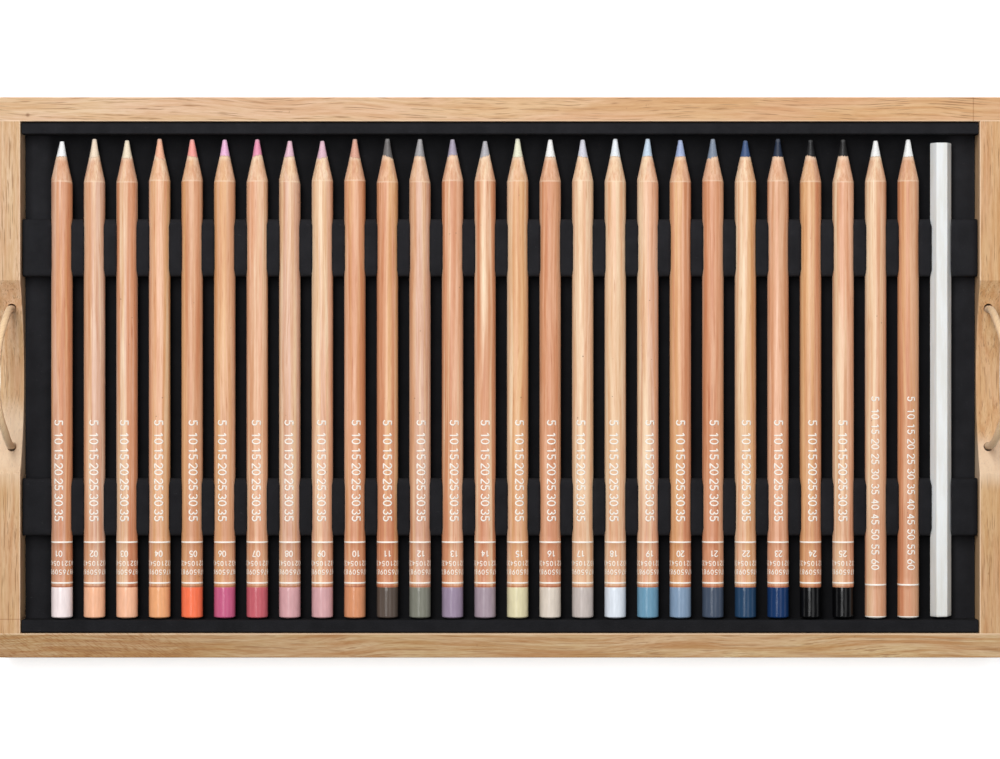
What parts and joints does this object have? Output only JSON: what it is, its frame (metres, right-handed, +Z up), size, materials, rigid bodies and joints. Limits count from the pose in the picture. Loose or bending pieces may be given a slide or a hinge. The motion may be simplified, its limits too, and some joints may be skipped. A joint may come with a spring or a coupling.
{
  "type": "pencil drawer tray",
  "caption": "Shallow oak lift-out tray with a rope handle at each end, its black felt insert notched to hold a single row of round pencils that lift out.",
  "frame": {"origin": "middle of the tray's footprint, on the surface that its four walls stand on", "axes": "+X along the tray to the right, +Y to the rear where the pencil points lie, +Z up"},
  "size_m": [0.3742, 0.2082, 0.0475],
  "materials": {
    "oak": "pale oak, sanded, thin matt oil, eased edges",
    "plywood": "thin birch plywood, bare",
    "black_felt": "black felt-covered foam, matt",
    "rope": "pale natural fibre cord, smooth and tightly laid",
    "cedar": "cedar under clear satin lacquer, coloured dipped end and coloured core",
    "white_wax": "off-white solid wax stick, smooth"
  },
  "bodies": {
    "tray": {"rear_rail": "oak", "front_rail": "oak", "left_end_panel": "oak", "right_end_panel": "oak", "base_board": "plywood", "base_lining": "black_felt", "rear_stop_strip": "black_felt", "front_stop_strip": "black_felt", "rear_pencil_rest": "black_felt", "front_pencil_rest": "black_felt", "left_rope_ends": "rope", "left_rope_knots": "rope", "right_rope_ends": "rope", "right_rope_knots": "rope"},
    "left_handle": {"left_rope_bow": "rope"},
    "right_handle": {"right_rope_bow": "rope"},
    "pencil_01": {"pencil_01": "cedar"},
    "pencil_02": {"pencil_02": "cedar"},
    "pencil_03": {"pencil_03": "cedar"},
    "pencil_04": {"pencil_04": "cedar"},
    "pencil_05": {"pencil_05": "cedar"},
    "pencil_06": {"pencil_06": "cedar"},
    "pencil_07": {"pencil_07": "cedar"},
    "pencil_08": {"pencil_08": "cedar"},
    "pencil_09": {"pencil_09": "cedar"},
    "pencil_10": {"pencil_10": "cedar"},
    "pencil_11": {"pencil_11": "cedar"},
    "pencil_12": {"pencil_12": "cedar"},
    "pencil_13": {"pencil_13": "cedar"},
    "pencil_14": {"pencil_14": "cedar"},
    "pencil_15": {"pencil_15": "cedar"},
    "pencil_16": {"pencil_16": "cedar"},
    "pencil_17": {"pencil_17": "cedar"},
    "pencil_18": {"pencil_18": "cedar"},
    "pencil_19": {"pencil_19": "cedar"},
    "pencil_20": {"pencil_20": "cedar"},
    "pencil_21": {"pencil_21": "cedar"},
    "pencil_22": {"pencil_22": "cedar"},
    "pencil_23": {"pencil_23": "cedar"},
    "pencil_24": {"pencil_24": "cedar"},
    "pencil_25": {"pencil_25": "cedar"},
    "blender_pencil_1": {"blender_pencil_1": "cedar"},
    "blender_pencil_2": {"blender_pencil_2": "cedar"},
    "white_hex_stick": {"white_hex_stick": "white_wax"}
  },
  "joints": [
    {"name": "left_handle_swing", "type": "hinge", "parent": "tray", "child": "left_handle", "pos_m": [-0.182, 0, 0.0188], "axis": [0, -1, 0], "range_deg": [-35, 60], "stiffness_Nm_per_rad": 0.002},
    {"name": "right_handle_swing", "type": "hinge", "parent": "tray", "child": "right_handle", "pos_m": [0.182, 0, 0.0188], "axis": [0, 1, 0], "range_deg": [-35, 60], "stiffness_Nm_per_rad": 0.002},
    {"name": "pencil_01_lift", "type": "slide", "parent": "tray", "child": "pencil_01", "axis": [0, 0, 1], "range_m": [0, 0.03]},
    {"name": "pencil_02_lift", "type": "slide", "parent": "tray", "child": "pencil_02", "axis": [0, 0, 1], "range_m": [0, 0.03]},
    {"name": "pencil_03_lift", "type": "slide", "parent": "tray", "child": "pencil_03", "axis": [0, 0, 1], "range_m": [0, 0.03]},
    {"name": "pencil_04_lift", "type": "slide", "parent": "tray", "child": "pencil_04", "axis": [0, 0, 1], "range_m": [0, 0.03]},
    {"name": "pencil_05_lift", "type": "slide", "parent": "tray", "child": "pencil_05", "axis": [0, 0, 1], "range_m": [0, 0.03]},
    {"name": "pencil_06_lift", "type": "slide", "parent": "tray", "child": "pencil_06", "axis": [0, 0, 1], "range_m": [0, 0.03]},
    {"name": "pencil_07_lift", "type": "slide", "parent": "tray", "child": "pencil_07", "axis": [0, 0, 1], "range_m": [0, 0.03]},
    {"name": "pencil_08_lift", "type": "slide", "parent": "tray", "child": "pencil_08", "axis": [0, 0, 1], "range_m": [0, 0.03]},
    {"name": "pencil_09_lift", "type": "slide", "parent": "tray", "child": "pencil_09", "axis": [0, 0, 1], "range_m": [0, 0.03]},
    {"name": "pencil_10_lift", "type": "slide", "parent": "tray", "child": "pencil_10", "axis": [0, 0, 1], "range_m": [0, 0.03]},
    {"name": "pencil_11_lift", "type": "slide", "parent": "tray", "child": "pencil_11", "axis": [0, 0, 1], "range_m": [0, 0.03]},
    {"name": "pencil_12_lift", "type": "slide", "parent": "tray", "child": "pencil_12", "axis": [0, 0, 1], "range_m": [0, 0.03]},
    {"name": "pencil_13_lift", "type": "slide", "parent": "tray", "child": "pencil_13", "axis": [0, 0, 1], "range_m": [0, 0.03]},
    {"name": "pencil_14_lift", "type": "slide", "parent": "tray", "child": "pencil_14", "axis": [0, 0, 1], "range_m": [0, 0.03]},
    {"name": "pencil_15_lift", "type": "slide", "parent": "tray", "child": "pencil_15", "axis": [0, 0, 1], "range_m": [0, 0.03]},
    {"name": "pencil_16_lift", "type": "slide", "parent": "tray", "child": "pencil_16", "axis": [0, 0, 1], "range_m": [0, 0.03]},
    {"name": "pencil_17_lift", "type": "slide", "parent": "tray", "child": "pencil_17", "axis": [0, 0, 1], "range_m": [0, 0.03]},
    {"name": "pencil_18_lift", "type": "slide", "parent": "tray", "child": "pencil_18", "axis": [0, 0, 1], "range_m": [0, 0.03]},
    {"name": "pencil_19_lift", "type": "slide", "parent": "tray", "child": "pencil_19", "axis": [0, 0, 1], "range_m": [0, 0.03]},
    {"name": "pencil_20_lift", "type": "slide", "parent": "tray", "child": "pencil_20", "axis": [0, 0, 1], "range_m": [0, 0.03]},
    {"name": "pencil_21_lift", "type": "slide", "parent": "tray", "child": "pencil_21", "axis": [0, 0, 1], "range_m": [0, 0.03]},
    {"name": "pencil_22_lift", "type": "slide", "parent": "tray", "child": "pencil_22", "axis": [0, 0, 1], "range_m": [0, 0.03]},
    {"name": "pencil_23_lift", "type": "slide", "parent": "tray", "child": "pencil_23", "axis": [0, 0, 1], "range_m": [0, 0.03]},
    {"name": "pencil_24_lift", "type": "slide", "parent": "tray", "child": "pencil_24", "axis": [0, 0, 1], "range_m": [0, 0.03]},
    {"name": "pencil_25_lift", "type": "slide", "parent": "tray", "child": "pencil_25", "axis": [0, 0, 1], "range_m": [0, 0.03]},
    {"name": "blender_pencil_1_lift", "type": "slide", "parent": "tray", "child": "blender_pencil_1", "axis": [0, 0, 1], "range_m": [0, 0.03]},
    {"name": "blender_pencil_2_lift", "type": "slide", "parent": "tray", "child": "blender_pencil_2", "axis": [0, 0, 1], "range_m": [0, 0.03]},
    {"name": "white_hex_stick_lift", "type": "slide", "parent": "tray", "child": "white_hex_stick", "axis": [0, 0, 1], "range_m": [0, 0.03]}
  ]
}
